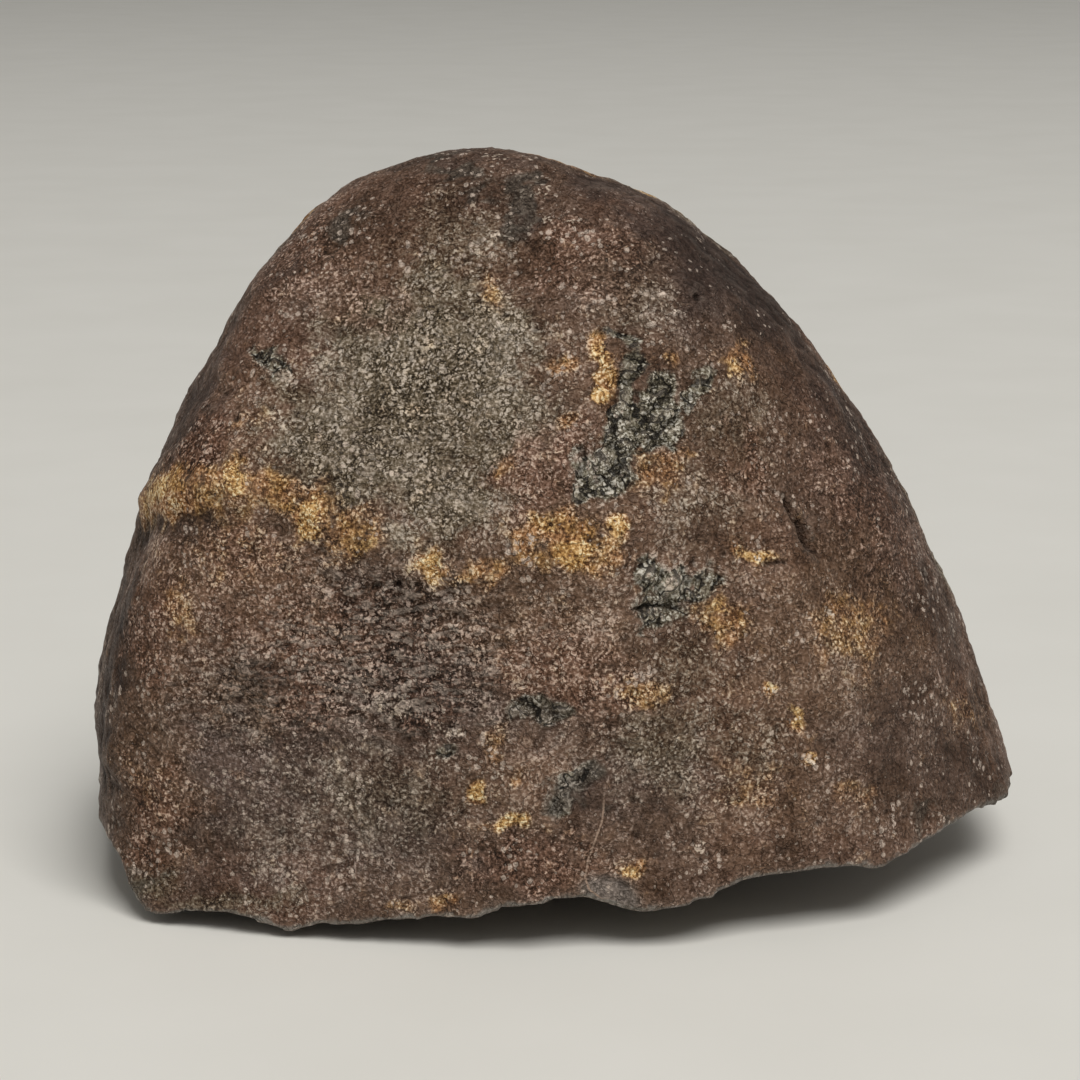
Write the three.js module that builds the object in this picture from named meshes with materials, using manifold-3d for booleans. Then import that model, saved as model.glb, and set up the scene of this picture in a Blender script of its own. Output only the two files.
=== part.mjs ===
// A chondrite meteorite: one blunt, loaf-shaped stone with worn facets, broken off along its underside.
// Millimetres, +Z up. X runs along the stone's width, -Y is its broad front, and it rests on a small
// flat spot of the broken face at Z = 0, with the origin at the bottom centre of its bounding box.
import * as THREE from "three";
import { ImprovedNoise } from "three/addons/math/ImprovedNoise.js";
import { mergeVertices } from "three/addons/utils/BufferGeometryUtils.js";
import Module from "manifold-3d";

// ---------------------------------------------------------------- driving dimensions
const WIDTH = 92; // X
const DEPTH = 60; // Y
const HEIGHT = 70.4; // Z

const CORE = new THREE.Vector3(-3, 0, 31); // the point that every facet's reach is measured from
const FARTHEST_REACH = 60;
const EDGE_SHARPNESS = 14; // exponent that rounds one facet into the next: higher is crisper
const SKIN_DIVISIONS = 18; // cuts along each edge of the icosahedron that the outside grows from

// Worn facets of the outside. A bearing turns from the right (0) through the back (90) and the
// left (180) to the front (270); tilt is how far the facet's outward normal points up, in degrees.
const FACETS = [
  // crown
  { bearing: 100, tilt: 86, reach: 42.2 },
  { bearing: 190, tilt: 62, reach: 40.0 },
  { bearing: 350, tilt: 66, reach: 35.6 },
  { bearing: 270, tilt: 66, reach: 37.5 },
  { bearing: 85, tilt: 58, reach: 35.5 },
  // left flank, from the crown down
  { bearing: 190, tilt: 44, reach: 39.8 },
  { bearing: 190, tilt: 29, reach: 37.1 },
  { bearing: 186, tilt: 12, reach: 40.3 },
  { bearing: 186, tilt: -6, reach: 47 },
  // right flank
  { bearing: 352, tilt: 46, reach: 35.2 },
  { bearing: 355, tilt: 33, reach: 37.2 },
  { bearing: 0, tilt: 20, reach: 41.8 },
  { bearing: 354, tilt: 10, reach: 47 },
  // front: the leaning upper face, the steep lower face and the turn to the right
  { bearing: 260, tilt: 38, reach: 27.2 },
  { bearing: 257, tilt: 5, reach: 29.6 },
  { bearing: 285, tilt: 8, reach: 29.6 },
  { bearing: 303, tilt: 26, reach: 31 },
  { bearing: 322, tilt: 12, reach: 36 },
  { bearing: 226, tilt: 4, reach: 42 },
  // back
  { bearing: 92, tilt: 22, reach: 31 },
  { bearing: 60, tilt: 10, reach: 34 },
  { bearing: 128, tilt: 12, reach: 36 },
  { bearing: 95, tilt: -12, reach: 31 },
  { bearing: 30, tilt: 26, reach: 36 },
  { bearing: 150, tilt: 30, reach: 37 },
];

// Shallow hollows of the outside: the direction of each from CORE, its radius and its depth.
const HOLLOWS = [
  { bearing: 246, tilt: -3, radius: 10, depth: 1.4 }, // below the brow
  { bearing: 245, tilt: 38, radius: 9, depth: 0.8 }, // in the upper front face
  { bearing: 328, tilt: 13, radius: 4, depth: 0.9 }, // beside the fissure
  { bearing: 293, tilt: -30, radius: 9, depth: 0.9 }, // low on the right of the front
  { bearing: 194, tilt: -3, radius: 5, depth: 0.8 }, // under the left shoulder
  { bearing: 72, tilt: 28, radius: 10, depth: 2.0 }, // thumbprints of the back
  { bearing: 112, tilt: 4, radius: 9, depth: 1.8 },
  { bearing: 38, tilt: 2, radius: 9, depth: 1.6 },
  { bearing: 142, tilt: 34, radius: 8, depth: 1.3 },
  { bearing: 82, tilt: -24, radius: 8, depth: 1.3 },
];

// The brow: a blunt ridge that crosses the front from the left shoulder and fades to the right.
const BROW = {
  path: [[190, 11], [205, 17], [218, 20], [232, 17], [252, 12], [278, 13], [292, 7]],
  halfWidth: 3.6,
  height: 1.1,
  fade: { from: 262, to: 298 }, // bearings between which it dies away
};

// Gentle lumps all over, from coarse to fine: the distance between them and their height.
const LUMPS = [
  { spacing: 12, height: 0.9 },
  { spacing: 5.5, height: 0.45 },
];

// The broken underside: a flat resting spot, and from it a rise in ledges to the lip of the outside.
const SPOT = { x: -2, y: 0, halfWidth: 13, halfDepth: 9.5 };
const BREAK_REACH = { halfWidth: 45, halfDepth: 30 }; // the ellipse on which the lip lies
const BREAK_CELL = 2.5;
const LEDGES = [
  { at: 0.4, width: 0.09, drop: 1.5 },
  { at: 0.74, width: 0.09, drop: 1.3 },
];
const BREAK_LUMP = { spacing: 9, height: 1.1 };
// Height of the lip along the front and the back, as [x, z] from the left corner to the right.
const FRONT_LIP = [
  [-46, 6.5], [-42, 5.6], [-38.6, 1.8], [-36, 0.6], [-33.8, 1.3], [-31.3, 1.9], [-28.3, 1.8], [-26.5, 0.6],
  [-24.6, 0.5], [-23, 1.5], [-19.5, 1.6], [-11.6, 2.9], [-8, 3.1], [-5, 4.2], [3.4, 5.4], [5, 4.1],
  [8.1, 3.4], [11.6, 3.7], [18.3, 5.8], [27, 6.0], [29.8, 5.2], [34, 6.2], [39, 7.4], [46, 6.2],
];
const BACK_LIP = [[-44, 5.0], [-30, 5.5], [-12, 4.0], [4, 6.5], [22, 7.0], [36, 9.0], [46, 7.5]];

const toRadians = THREE.MathUtils.degToRad;
const smoothstep = THREE.MathUtils.smoothstep;
const noise = new ImprovedNoise();

// ---------------------------------------------------------------- outside
function pointing([bearing, tilt]) {
  const b = toRadians(bearing);
  const t = toRadians(tilt);
  return new THREE.Vector3(Math.cos(t) * Math.cos(b), Math.cos(t) * Math.sin(b), Math.sin(t));
}

const facets = FACETS.map(({ bearing, tilt, reach }) => ({ normal: pointing([bearing, tilt]), reach }));

// How far the faceted outside lies from CORE along a direction.
function facetedReach(direction) {
  let sum = 0;
  for (const { normal, reach } of facets) {
    sum += Math.max(0, direction.dot(normal) / reach) ** EDGE_SHARPNESS;
  }
  return Math.min(sum ** (-1 / EDGE_SHARPNESS), FARTHEST_REACH);
}

// The point of the faceted outside, relative to CORE, that a bearing and a tilt meet.
function onOutside(angles) {
  const direction = pointing(angles);
  return direction.multiplyScalar(facetedReach(direction));
}

const hollows = HOLLOWS.map((h) => ({ ...h, centre: onOutside([h.bearing, h.tilt]) }));
const browPoints = BROW.path.map(onOutside);
const browLines = browPoints.slice(1).map((end, i) => new THREE.Line3(browPoints[i], end));

function bell(distance, radius) {
  return Math.exp(-((distance / radius) ** 2));
}

function lumpAt(point, { spacing, height }) {
  return height * noise.noise(point.x / spacing, point.y / spacing, point.z / spacing);
}

// How far the relief stands proud of the faceted outside at a point relative to CORE.
function reliefAt(point) {
  let relief = 0;
  for (const { centre, radius, depth } of hollows) {
    relief -= depth * bell(point.distanceTo(centre), radius);
  }
  const nearest = new THREE.Vector3();
  const browDistances = browLines.map((line) => {
    return line.closestPointToPoint(point, true, nearest).distanceTo(point);
  });
  const bearing = (THREE.MathUtils.radToDeg(Math.atan2(point.y, point.x)) + 360) % 360;
  const standing = 1 - smoothstep(bearing, BROW.fade.from, BROW.fade.to);
  relief += standing * BROW.height * bell(Math.min(...browDistances), BROW.halfWidth);
  for (const lump of LUMPS) relief += lumpAt(point, lump);
  return relief;
}

function outsideSkin() {
  const skin = new THREE.IcosahedronGeometry(1, SKIN_DIVISIONS);
  const position = skin.getAttribute("position");
  const direction = new THREE.Vector3();
  const point = new THREE.Vector3();
  for (let i = 0; i < position.count; i += 1) {
    direction.fromBufferAttribute(position, i).normalize();
    const reach = facetedReach(direction);
    point.copy(direction).multiplyScalar(reach);
    const relief = reliefAt(point);
    point.addScaledVector(direction, relief).add(CORE);
    position.setXYZ(i, point.x, point.y, point.z);
  }
  return skin;
}

// ---------------------------------------------------------------- broken underside
function along(profile, x) {
  const next = profile.findIndex(([px]) => px > x);
  if (next === 0) return profile[0][1];
  if (next < 0) return profile[profile.length - 1][1];
  const [x0, z0] = profile[next - 1];
  const [x1, z1] = profile[next];
  return z0 + ((z1 - z0) * (x - x0)) / (x1 - x0);
}

function breakHeight(x, y) {
  const spot = Math.hypot((x - SPOT.x) / SPOT.halfWidth, (y - SPOT.y) / SPOT.halfDepth);
  if (spot <= 1) return 0;
  const lip = Math.hypot(x / BREAK_REACH.halfWidth, y / BREAK_REACH.halfDepth);
  const rise = Math.min(1, (spot - 1) / (spot / lip - 1));
  const side = smoothstep(y, -8, 8);
  let height = along(FRONT_LIP, x) * (1 - side) + along(BACK_LIP, x) * side;
  const wander = noise.noise(x / 14, y / 14, 3.7) * 0.25;
  for (const { at, width, drop } of LEDGES) {
    height += drop * (smoothstep(rise + wander, at - width, at + width) - smoothstep(rise, at, 1));
  }
  const lump = lumpAt(new THREE.Vector3(x, y, 0), BREAK_LUMP) * (1 - rise);
  return Math.max(0, height * rise + lump * Math.min(1, 4 * rise));
}

const BLOCK = { width: 130, depth: 96, height: 60 };

function breakBlock() {
  const { width, depth, height } = BLOCK;
  const columns = Math.round(width / BREAK_CELL);
  const rows = Math.round(depth / BREAK_CELL);
  const block = new THREE.BoxGeometry(width, depth, height, columns, rows, 1);
  block.translate(0, 0, -height / 2);
  const position = block.getAttribute("position");
  for (let i = 0; i < position.count; i += 1) {
    if (position.getZ(i) > -1) {
      position.setZ(i, breakHeight(position.getX(i), position.getY(i)));
    }
  }
  return block;
}

// ---------------------------------------------------------------- joining and sizing
const wasm = await Module();
wasm.setup();

function solid(geometry) {
  geometry.deleteAttribute("normal");
  geometry.deleteAttribute("uv");
  const merged = mergeVertices(geometry, 1e-4);
  return new wasm.Manifold(
    new wasm.Mesh({
      numProp: 3,
      vertProperties: merged.getAttribute("position").array,
      triVerts: new Uint32Array(merged.index.array),
    }),
  );
}

function geometryOf(manifold) {
  const { numProp, vertProperties, triVerts } = manifold.getMesh();
  const geometry = new THREE.BufferGeometry();
  const positions = new Float32Array((vertProperties.length / numProp) * 3);
  for (let i = 0; i < positions.length / 3; i += 1) {
    positions.set(vertProperties.subarray(i * numProp, i * numProp + 3), i * 3);
  }
  geometry.setAttribute("position", new THREE.BufferAttribute(positions, 3));
  geometry.setIndex(new THREE.BufferAttribute(triVerts, 1));
  return geometry;
}

// Brings the stone to its driving size, standing on Z = 0 over the origin.
function sized(geometry) {
  geometry.computeBoundingBox();
  const { min, max } = geometry.boundingBox;
  geometry.translate(-(min.x + max.x) / 2, -(min.y + max.y) / 2, -min.z);
  geometry.scale(WIDTH / (max.x - min.x), DEPTH / (max.y - min.y), HEIGHT / (max.z - min.z));
  geometry.computeVertexNormals();
  return geometry;
}

const stone = solid(outsideSkin()).subtract(solid(breakBlock()));

const meteorite = new THREE.Mesh(
  sized(geometryOf(stone)),
  new THREE.MeshStandardMaterial({ color: 0x5a4a3e, roughness: 0.55, metalness: 0 }),
);
meteorite.name = "meteorite";

export default new THREE.Group().add(meteorite);
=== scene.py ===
# %% [markdown]
# # A chondrite meteorite
#
# The object is one natural stone: a blunt, loaf-shaped chondrite with worn facets, a brow across its
# front and a broken underside. The solid model fixes its size and its main form. This lesson wraps a
# fine skin over that form, models the relief that a hand would feel, and then paints and shades a
# surface that long weathering has turned brown, ochre and grey.

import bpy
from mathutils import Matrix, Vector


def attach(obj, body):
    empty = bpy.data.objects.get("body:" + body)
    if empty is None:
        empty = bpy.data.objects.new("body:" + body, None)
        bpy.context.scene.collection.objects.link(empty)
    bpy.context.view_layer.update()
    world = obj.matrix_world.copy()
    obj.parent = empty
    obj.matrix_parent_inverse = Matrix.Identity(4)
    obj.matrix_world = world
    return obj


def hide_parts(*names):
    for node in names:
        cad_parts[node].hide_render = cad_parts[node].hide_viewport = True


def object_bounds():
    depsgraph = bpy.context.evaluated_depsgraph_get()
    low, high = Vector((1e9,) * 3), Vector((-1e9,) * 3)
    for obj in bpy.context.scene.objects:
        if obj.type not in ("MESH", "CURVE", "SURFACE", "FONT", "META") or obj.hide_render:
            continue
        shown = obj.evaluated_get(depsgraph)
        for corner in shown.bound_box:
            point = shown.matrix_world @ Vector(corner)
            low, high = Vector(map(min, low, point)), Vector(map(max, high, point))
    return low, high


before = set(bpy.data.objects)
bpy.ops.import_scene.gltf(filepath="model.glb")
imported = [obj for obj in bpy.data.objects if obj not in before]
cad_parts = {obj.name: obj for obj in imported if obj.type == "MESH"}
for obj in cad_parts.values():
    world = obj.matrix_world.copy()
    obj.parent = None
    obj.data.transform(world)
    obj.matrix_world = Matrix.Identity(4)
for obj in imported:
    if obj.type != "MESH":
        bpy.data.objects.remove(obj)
cad_low, cad_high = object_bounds()
print("solid model:", [round((b - a) * 1000, 1) for a, b in zip(cad_low, cad_high)], "mm")

# %% [markdown]
# Blender works in metres, but a stone is easier to think about in millimetres, so sizes are written as
# `12 * MM`. The helpers select one thing at a time, because an operator acts on all that is selected.

# %% Units and tools
import math
import random

import bpy
import numpy as np
from mathutils import Vector, noise
from mathutils.kdtree import KDTree

MM = 0.001
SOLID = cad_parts["meteorite"]


def only(thing):
    """Deselects everything else and makes one object active, ready for an operator."""
    bpy.ops.object.select_all(action="DESELECT")
    thing.select_set(True)
    bpy.context.view_layer.objects.active = thing


def finish_with(thing, kind, name, **settings):
    """Adds a modifier with its settings and applies it at once."""
    only(thing)
    modifier = thing.modifiers.new(name, kind)
    for setting, value in settings.items():
        setattr(modifier, setting, value)
    bpy.ops.object.modifier_apply(modifier=modifier.name)


print("a millimetre is", MM, "of a Blender unit")

# %% [markdown]
# ## The viewpoint
#
# A specimen is usually looked at from the front and a little above. The camera stands 300 mm away and
# 13 degrees up, with a long lens, so that the stone shows little perspective. Its place is settled first,
# because the marks on the front are laid out by where a viewer standing here sees them.

# %% Camera
VIEW_DISTANCE = 300 * MM
VIEW_TILT = math.radians(13)
VIEW_TARGET = Vector((-0.9 * MM, 0, 32 * MM))
LENS = 101.4
SENSOR = 36

view_direction = Vector((0, math.cos(VIEW_TILT), -math.sin(VIEW_TILT)))
view_up = Vector((0, math.sin(VIEW_TILT), math.cos(VIEW_TILT)))
view_place = VIEW_TARGET - view_direction * VIEW_DISTANCE

bpy.ops.object.camera_add(location=view_place)
camera = bpy.context.object
camera.name = "specimen_camera"
camera.rotation_euler = view_direction.to_track_quat("-Z", "Y").to_euler()
camera.data.lens = LENS
camera.data.sensor_width = SENSOR
camera.data.clip_start = 10 * MM
bpy.context.scene.camera = camera
print("camera at", [round(v, 3) for v in view_place])

# %% [markdown]
# ## A fine skin over the solid
#
# The solid's faces are about two millimetres wide, too coarse for stone. A skin could be sculpted from
# nothing, or wrapped over the solid. Wrapping keeps the true form: a finely cut cube is rounded into a
# ball, the ball is shrunk onto the solid from all round, and a voxel remesh then gives it even faces.

# %% Wrap the skin
BALL_WIDTH = 130 * MM
BALL_CUTS = 119
SKIN_FACE = 0.71 * MM

middle = (cad_low + cad_high) / 2
bpy.ops.mesh.primitive_cube_add(size=BALL_WIDTH, location=middle)
stone = bpy.context.object
stone.name = "meteorite_stone"
bpy.ops.object.mode_set(mode="EDIT")
bpy.ops.mesh.select_all(action="SELECT")
bpy.ops.mesh.subdivide(number_cuts=BALL_CUTS)
bpy.ops.object.mode_set(mode="OBJECT")
finish_with(stone, "CAST", "round into a ball", factor=1.0, cast_type="SPHERE")
finish_with(
    stone, "SHRINKWRAP", "shrink onto the solid", target=SOLID, wrap_method="PROJECT",
    use_negative_direction=True, use_positive_direction=False,
)
bpy.ops.object.transform_apply(location=True, rotation=True, scale=True)
finish_with(stone, "REMESH", "even faces", mode="VOXEL", voxel_size=SKIN_FACE)
finish_with(stone, "SHRINKWRAP", "settle", target=SOLID, wrap_method="NEAREST_SURFACEPOINT")
print("skin:", len(stone.data.vertices), "points,", len(stone.data.polygons), "faces")

# %% [markdown]
# The relief and the paint are both steered by weights on the points. Weights that drive a modifier are a
# vertex group, and weights that drive the material are a float attribute. Both are worked out with numpy
# from each point's place and normal.

# %% Weights on the points
def points_of(thing):
    """Places and normals of all the points, as two arrays."""
    count = len(thing.data.vertices)
    places = np.empty(count * 3)
    thing.data.vertices.foreach_get("co", places)
    normals = np.empty(count * 3)
    thing.data.vertex_normals.foreach_get("vector", normals)
    return places.reshape(-1, 3), normals.reshape(-1, 3)


def smooth_step(value, low, high):
    t = np.clip((value - low) / (high - low), 0, 1)
    return t * t * (3 - 2 * t)


WEIGHT_STEPS = 100


def weight_group(thing, name, weights):
    """A vertex group that holds the weights, in steps of a hundredth."""
    group = thing.vertex_groups.new(name=name)
    steps = np.rint(np.clip(weights, 0, 1) * WEIGHT_STEPS).astype(int)
    for step in np.unique(steps[steps > 0]):
        group.add(np.flatnonzero(steps == step).tolist(), step / WEIGHT_STEPS, "REPLACE")


def paint_layer(thing, name, weights):
    """A float attribute that the material reads."""
    layer = thing.data.attributes.new(name, "FLOAT", "POINT")
    layer.data.foreach_set("value", np.clip(weights, 0, 1).astype(np.float32))


def wobble(places, size, seed):
    """Smooth noise from -1 to 1 at every point, with lumps of about the size given."""
    shift = Vector((seed * 7.3, seed * 3.1, seed * 5.7))
    return np.array([noise.noise(Vector(p) / size + shift) for p in places])


print("weights go in", WEIGHT_STEPS, "steps")

# %% [markdown]
# The sharp lip, where the broken underside meets the worn outside, must survive the smoothing. It is
# found as the low edges where the faces turn by more than 35 degrees. Each point is then smoothed by a
# weight that grows with its distance from the lip.

# %% Find the lip and smooth the facets
LIP_ANGLE = math.radians(35)
LIP_HIGHEST = 14 * MM
CRISP_BAND = (0.4 * MM, 2.0 * MM)
SMOOTH_ROUNDS = 60

only(stone)
bpy.ops.object.mode_set(mode="EDIT")
bpy.ops.mesh.select_mode(type="EDGE")
bpy.ops.mesh.select_all(action="DESELECT")
bpy.ops.mesh.edges_select_sharp(sharpness=LIP_ANGLE)
bpy.ops.mesh.select_mode(type="VERT")
bpy.ops.object.mode_set(mode="OBJECT")
lip = np.empty(len(stone.data.vertices), dtype=bool)
stone.data.vertices.foreach_get("select", lip)
places, normals = points_of(stone)
lip &= places[:, 2] < LIP_HIGHEST
lip_places = places[lip]
print("lip points:", len(lip_places))


def distance_to_lip(places):
    """Distance from each point to the nearest point of the lip, in metres."""
    lip_tree = KDTree(len(lip_places))
    for i, p in enumerate(lip_places):
        lip_tree.insert(p, i)
    lip_tree.balance()
    return np.array([lip_tree.find(p)[2] for p in places])


weight_group(stone, "away from the lip", smooth_step(distance_to_lip(places), *CRISP_BAND))
finish_with(
    stone, "SMOOTH", "soften the facets", factor=0.5, iterations=SMOOTH_ROUNDS,
    vertex_group="away from the lip",
)

# %% [markdown]
# The front is what a visitor studies, so its faces are cut in four. The rest keeps the coarser skin,
# which holds the whole piece under two hundred thousand triangles.

# %% A finer front
FRONT_FACING = 0.32


def faces_towards(thing, eye, least):
    """Which faces look at a point in space, by the cosine of their turn away from it."""
    count = len(thing.data.polygons)
    centres = np.empty(count * 3)
    thing.data.polygons.foreach_get("center", centres)
    normals = np.empty(count * 3)
    thing.data.polygons.foreach_get("normal", normals)
    towards = np.array(eye) - centres.reshape(-1, 3)
    towards /= np.linalg.norm(towards, axis=1)[:, None]
    return (normals.reshape(-1, 3) * towards).sum(1) > least


front = faces_towards(stone, view_place, FRONT_FACING)
print("front faces:", int(front.sum()), "of", len(front))
only(stone)
bpy.ops.object.mode_set(mode="EDIT")
bpy.ops.mesh.select_mode(type="FACE")
bpy.ops.mesh.select_all(action="DESELECT")
bpy.ops.object.mode_set(mode="OBJECT")
stone.data.polygons.foreach_set("select", front)
bpy.ops.object.mode_set(mode="EDIT")
bpy.ops.mesh.subdivide(number_cuts=1, smoothness=0)
bpy.ops.object.mode_set(mode="OBJECT")
triangles = sum(len(p.vertices) - 2 for p in stone.data.polygons)
print("stone:", triangles, "triangles")

# %% [markdown]
# ## Where the marks lie
#
# Stains, crust and wrinkles are laid out like a map: each mark is an ellipse, given by its place across
# and up the front in millimetres, its half width and half height, its turn in degrees and its strength.
# The map is spread over the stone as the viewer sees it. Noise then sways it sideways and frays its
# edges, because no real stain is an ellipse.

# %% The map of the front
def front_map(places, normals):
    """Millimetres across and up the front as the viewer sees it, and which points face the viewer."""
    offset = places - np.array(view_place)
    depth = offset @ np.array(view_direction)
    across = offset[:, 0] / depth * VIEW_DISTANCE / MM
    up = (offset @ np.array(view_up)) / depth * VIEW_DISTANCE / MM
    towards = -offset / np.linalg.norm(offset, axis=1)[:, None]
    facing = (normals * towards).sum(1)
    return across, up, smooth_step(facing, 0.02, 0.16)


def spread(marks, sway=1.0, fray=1.0, soft=0.5, grow=0.0):
    """The strongest of the marks at every point of the front. Sway and fray say how far the noise moves
    and tears the edges, soft how wide they are, and grow makes every mark larger, in millimetres."""
    weight = np.zeros(len(across))
    for x, y, half_width, half_height, turn, strength in marks:
        angle = math.radians(turn)
        right, rise = across + sway * sway_across - x, up + sway * sway_up - y
        along = right * math.cos(angle) + rise * math.sin(angle)
        aside = rise * math.cos(angle) - right * math.sin(angle)
        distance = np.hypot(along / (half_width + grow), aside / (half_height + grow)) + fray * ragged
        weight = np.maximum(weight, strength * (1 - smooth_step(distance, 1 - soft, 1 + soft)))
    return weight * facing


def distance_to_path(path, across, up):
    """Distance in millimetres to a path on the map, and how far along it the nearest point lies."""
    nearest = np.full(len(across), np.inf)
    progress = np.zeros(len(across))
    legs = list(zip(path, path[1:]))
    for i, ((x0, y0), (x1, y1)) in enumerate(legs):
        dx, dy = x1 - x0, y1 - y0
        t = np.clip(((across - x0) * dx + (up - y0) * dy) / (dx * dx + dy * dy), 0, 1)
        distance = np.hypot(across - x0 - t * dx, up - y0 - t * dy)
        closer = distance < nearest
        nearest[closer] = distance[closer]
        progress[closer] = (i + t[closer]) / len(legs)
    return nearest, progress


print("the map is seen from", round(VIEW_DISTANCE / MM), "mm away")

# %% [markdown]
# These marks are raised or cut in the skin: the patches of dark crust, the wrinkled fields and the scar
# beside the lip. The brow and the cracks are paths, lists of points on the same map. A pit has only a
# place and a radius.

# %% Marks in the relief
CRUST = [
    (-26, 17.5, 1.3, 2.2, 20, 0.6), (8.3, 19.9, 1.7, 1, -15, 0.9), (8.6, 16.8, 1.2, 2.4, 0, 0.95),
    (8.7, 13.9, 1.6, 1.5, 0, 1), (7.5, 8.7, 1.8, 1.4, 0, 1), (11.9, 12.3, 2.4, 2.9, 0, 1),
    (8.5, 11.5, 1.9, 2.1, 0, 1), (6.3, 7, 2.3, 2.6, 20, 1), (4.8, 5.2, 1.6, 1.3, 0, 0.9),
    (15.4, 14.6, 0.8, 1.8, -25, 0.7), (12.4, -3.7, 2.4, 2.3, 25, 1), (11.6, -7.3, 2.7, 1.5, 10, 0.6),
    (16.2, -4.4, 1.6, 1.3, 0, 0.6), (-0.5, -16.8, 3.2, 1.6, -10, 0.95), (3.2, -23.4, 1.4, 1.4, 30, 0.9),
    (2.7, -26, 1, 1.3, 0, 0.85), (-10, -21, 1.1, 0.6, 0, 0.6),
]
WRINKLES = [
    (-14.8, -11.3, 11.8, 7.9, -8, 1), (-28.6, -14.8, 6.9, 5.9, -8, 0.6), (-10.8, -4.9, 5.9, 2.5, -10, 0.8),
    (-20.7, -2, 5.9, 2, -25, 0.5), (2, -7.9, 4.9, 3, 0, 0.4), (-16, 9, 8, 4, -20, 0.35),
]
BROW = [
    (-41, 3.6), (-37.5, 4.6), (-32, 6), (-27, 5), (-23, 2.6), (-19, 0.2), (-14, -2.2), (-9, -3.2),
    (-3, -1.6), (3, -2.2), (8, -4.6), (12, -8),
]
STEP = [(-35, 15.4), (-32, 16.6), (-29, 17.0), (-26.5, 16.4)]
FISSURE = [(24.0, 4.4), (24.9, 3.3), (25.9, 2.0), (26.6, 0.2), (27.6, -1.4)]
SIDE_CRACK = [(21.8, -2.4), (23.2, -2.1), (24.6, -2.0)]
CRUST_CRACK = [(9.0, -7.0), (10.5, -6.6), (12.0, -6.5), (13.6, -6.8)]
HAIRLINE = [
    (6.6, -23.6), (6.3, -25.6), (5.9, -28), (5.4, -29.8), (4.7, -31.6), (4.5, -33.2), (5, -34.6),
    (6.6, -35.9),
]
SCAR = [(7, -34.9, 3, 1.7, -22, 1)]
PITS = [(-16.2, -4.6, 0.5), (-14, -4.4, 0.4), (-9, 6.5, 0.35), (-30, 12, 0.4), (15.5, 24, 0.4)]
print(len(CRUST), "patches of crust,", len(WRINKLES), "wrinkled fields,", len(PITS), "pits")

# %% [markdown]
# The noises that sway and fray the marks are worked out once, for every point of the skin. Their lumps
# are one to four millimetres wide, so a mark's edge wanders as well as being torn.

# %% Lay the map over the stone
places, normals = points_of(stone)
across, up, facing = front_map(places, normals)
ragged = 0.28 * wobble(places, 1.9 * MM, 1) + 0.2 * wobble(places, 0.7 * MM, 2)
sway_across = 1.5 * wobble(places, 3.6 * MM, 3) + 0.8 * wobble(places, 1.4 * MM, 4)
sway_up = 1.5 * wobble(places, 3.6 * MM, 5) + 0.8 * wobble(places, 1.4 * MM, 6)
print("map spans", round(across.min()), "to", round(across.max()), "mm across")

# %% [markdown]
# ## Relief
#
# Relief is what the hand feels and what light and shadow show: broad lumps, the brow, wrinkled ledges,
# scaly crust, cracks and chips. It could be sculpted stroke by stroke. Displace modifiers are easier to
# repeat: each has a texture for its shape, a vertex group for where it acts, and a height.

# %% Textures and displacement
def clouds(name, size, depth=2):
    texture = bpy.data.textures.new(name, "CLOUDS")
    texture.noise_basis = "IMPROVED_PERLIN"
    texture.noise_scale = size
    texture.noise_depth = depth
    return texture


CRACK_CONTRAST = 3.5


def cells(name, size, edges=False):
    """Rounded cells, or with edges the thin cracks between them."""
    texture = bpy.data.textures.new(name, "VORONOI")
    texture.noise_scale = size
    if edges:
        texture.weight_1 = -1
        texture.weight_2 = 1
        texture.noise_intensity = CRACK_CONTRAST
    return texture


def ridges(name, size):
    texture = bpy.data.textures.new(name, "MUSGRAVE")
    texture.musgrave_type = "RIDGED_MULTIFRACTAL"
    texture.noise_basis = "IMPROVED_PERLIN"
    texture.noise_scale = size
    texture.octaves = 3
    return texture


def displace(name, height, texture=None, group="", middle=0.5, direction="NORMAL", axes=None):
    """Raises the skin by a texture, or evenly where there is none. Axes is an empty whose own axes
    stretch and turn the texture."""
    settings = {"strength": height, "mid_level": middle, "direction": direction, "vertex_group": group}
    if texture:
        settings["texture"] = texture
        settings["texture_coords"] = "OBJECT" if axes else "LOCAL"
        if axes:
            settings["texture_coords_object"] = axes
    finish_with(stone, "DISPLACE", name, **settings)
    print(name, round(height / MM, 2), "mm")


# %% [markdown]
# Broad lumps come first, and finer ones on top. The resting spot is left out, because the stone must
# stand on it exactly as the solid does.

# %% Lumps all over
SPOT_EDGE = (0.25 * MM, 1.6 * MM)

weight_group(stone, "off the spot", smooth_step(places[:, 2], *SPOT_EDGE))
displace("broad lumps", 1.0 * MM, clouds("broad lumps", 6.5 * MM), "off the spot")
displace("small lumps", 0.6 * MM, clouds("small lumps", 2.6 * MM), "off the spot")
displace("peel", 0.45 * MM, clouds("peel", 1.15 * MM, 3), "off the spot")

# %% [markdown]
# The sides are fuller in some places and flatter in others than the solid's plain facets. Each is pushed
# along X by a profile, a list of heights and of how far the side moves there, both in millimetres. Before
# the profile stand its side, -1 for the left, 1 for the right and 0 for both, and the way it is pushed.
# The crown leans a little to the right in the same manner.

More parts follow.
